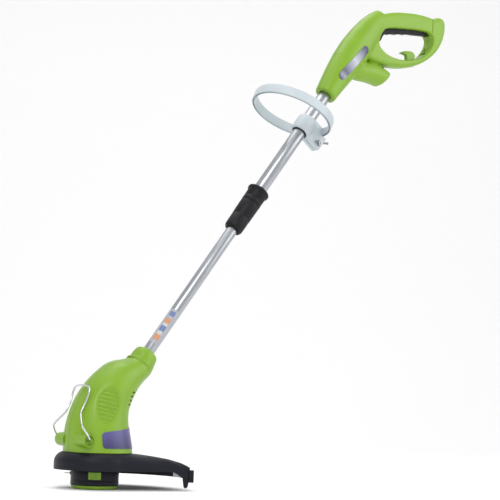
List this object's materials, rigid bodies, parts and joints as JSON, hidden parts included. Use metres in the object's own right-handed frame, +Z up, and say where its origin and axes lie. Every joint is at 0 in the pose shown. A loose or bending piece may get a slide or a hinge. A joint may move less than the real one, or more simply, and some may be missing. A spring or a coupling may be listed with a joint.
{
  "type": "string trimmer",
  "caption": "Corded string trimmer with a telescoping tube, motor head and line spool, part guard, sliding loop handle and D-shaped rear handle.",
  "frame": {"origin": "centre of the spool cap's flat underside", "axes": "+Z up along the spool's axis, +X to the rear handle, -Y the labelled side"},
  "size_m": [0.9033, 0.2292, 0.9906],
  "materials": {
    "black": "matte",
    "brass": "satin",
    "chrome": "polished",
    "copper": "satin",
    "green": "matte",
    "line": "satin",
    "pale": "matte",
    "purple": "gloss",
    "rubber": "matte",
    "slate": "gloss",
    "steel": "satin",
    "tube": "brushed"
  },
  "bodies": {
    "rear_handle": {"handle_near": "green", "handle_far": "green", "handle_screw_1": "steel", "handle_screw_2": "steel", "handle_screw_3": "steel", "handle_badge": "slate", "trigger_pin": "steel", "trigger_spring": "steel", "switch_body": "black", "cord_hook": "green", "inlet_block": "black", "inlet_blade_1": "brass", "inlet_blade_2": "brass", "upper_tube": "tube", "shaft_collar": "black", "coiled_lead": "rubber", "collet": "black"},
    "trigger_lever": {"trigger": "black"},
    "plunger": {"switch_plunger": "black"},
    "sleeve": {"lock_sleeve": "black"},
    "shaft_slider": {"guide_bush": "black"},
    "clamp_slider": {"clamp_liner": "black"},
    "loop": {"loop_handle": "pale", "clamp_bolt": "steel"},
    "nut": {"wing_nut": "steel"},
    "head": {"lower_tube": "tube", "motor_lead": "rubber", "housing_near": "green", "housing_far": "green", "housing_screw_1": "steel", "housing_screw_2": "steel", "housing_screw_3": "steel", "head_label": "purple", "motor_plate": "black", "lower_bearing": "steel", "upper_bearing": "steel", "bearing_bracket": "black", "motor_stator": "steel", "carbon_brush_1": "black", "carbon_brush_2": "black", "guard": "black", "guard_screw_1": "steel", "guard_screw_2": "steel", "line_cutter": "steel", "cutter_screw": "steel"},
    "wire_bail": {"wire_guard": "chrome"},
    "rotor": {"motor_shaft": "steel", "motor_armature": "steel", "commutator": "copper", "cooling_fan": "black", "spool_drum": "black", "line_eyelet": "steel", "drum_nut": "steel", "line_end": "line", "spool_spring": "steel"},
    "spool": {"line_spool": "green", "line_winding": "line"},
    "cap": {"spool_cap": "green"},
    "tab_a": {"cap_tab_1": "green"},
    "tab_b": {"cap_tab_2": "green"}
  },
  "joints": [
    {"name": "trigger_pull", "type": "hinge", "parent": "rear_handle", "child": "trigger_lever", "pos_m": [0.78109, 0, 0.95429], "axis": [0, 1, 0], "range_deg": [0, 4], "stiffness_Nm_per_rad": 1.2, "springref_deg": -5.73, "deforming": ["trigger_spring"]},
    {"name": "switch_travel", "type": "slide", "parent": "rear_handle", "child": "plunger", "axis": [0, 0, 1], "range_m": [0, 0.006]},
    {"name": "shaft_length", "type": "slide", "parent": "rear_handle", "child": "shaft_slider", "axis": [0.6046, 0, 0.7965], "range_m": [0, 0.13], "deforming": ["coiled_lead"]},
    {"name": "head_turn", "type": "hinge", "parent": "shaft_slider", "child": "head", "pos_m": [0.3023, 0, 0.50726], "axis": [0.6046, 0, 0.7965], "range_deg": [0, 180]},
    {"name": "lock_turn", "type": "hinge", "parent": "rear_handle", "child": "sleeve", "pos_m": [0.30411, 0, 0.50965], "axis": [0.6046, 0, 0.7965], "range_deg": [0, 90]},
    {"name": "loop_slide", "type": "slide", "parent": "rear_handle", "child": "clamp_slider", "axis": [0.6046, 0, 0.7965], "range_m": [-0.11, 0.03]},
    {"name": "loop_turn", "type": "hinge", "parent": "clamp_slider", "child": "loop", "pos_m": [0.45544, 0, 0.70903], "axis": [0.6046, 0, 0.7965], "range_deg": [-60, 60]},
    {"name": "wing_nut_turn", "type": "hinge", "parent": "loop", "child": "nut", "pos_m": [0.48694, -0.0143, 0.67758], "axis": [0, -1, 0], "range_deg": [0, 720]},
    {"name": "wire_guard_fold", "type": "hinge", "parent": "head", "child": "wire_bail", "pos_m": [-0.0445, 0, 0.085], "axis": [0, -1, 0], "range_deg": [0, 100]},
    {"name": "rotor_spin", "type": "hinge", "parent": "head", "child": "rotor", "pos_m": [0, 0, 0.08], "axis": [0, 0, 1], "continuous": true},
    {"name": "spool_feed", "type": "hinge", "parent": "rotor", "child": "spool", "pos_m": [0, 0, 0.02], "axis": [0, 0, 1], "continuous": true},
    {"name": "cap_release", "type": "slide", "parent": "rotor", "child": "cap", "axis": [0, 0, -1], "range_m": [0, 0.02]},
    {"name": "tab_press_1", "type": "slide", "parent": "rotor", "child": "tab_a", "axis": [0.5358, 0.8443, 0], "range_m": [0, 0.002], "stiffness_N_per_m": 2000},
    {"name": "tab_press_2", "type": "slide", "parent": "rotor", "child": "tab_b", "axis": [-0.5358, -0.8443, 0], "range_m": [0, 0.002], "stiffness_N_per_m": 2000}
  ],
  "couplings": [
    {"joint": "switch_travel", "follows": "trigger_pull", "m_per_rad": 0.08}
  ]
}
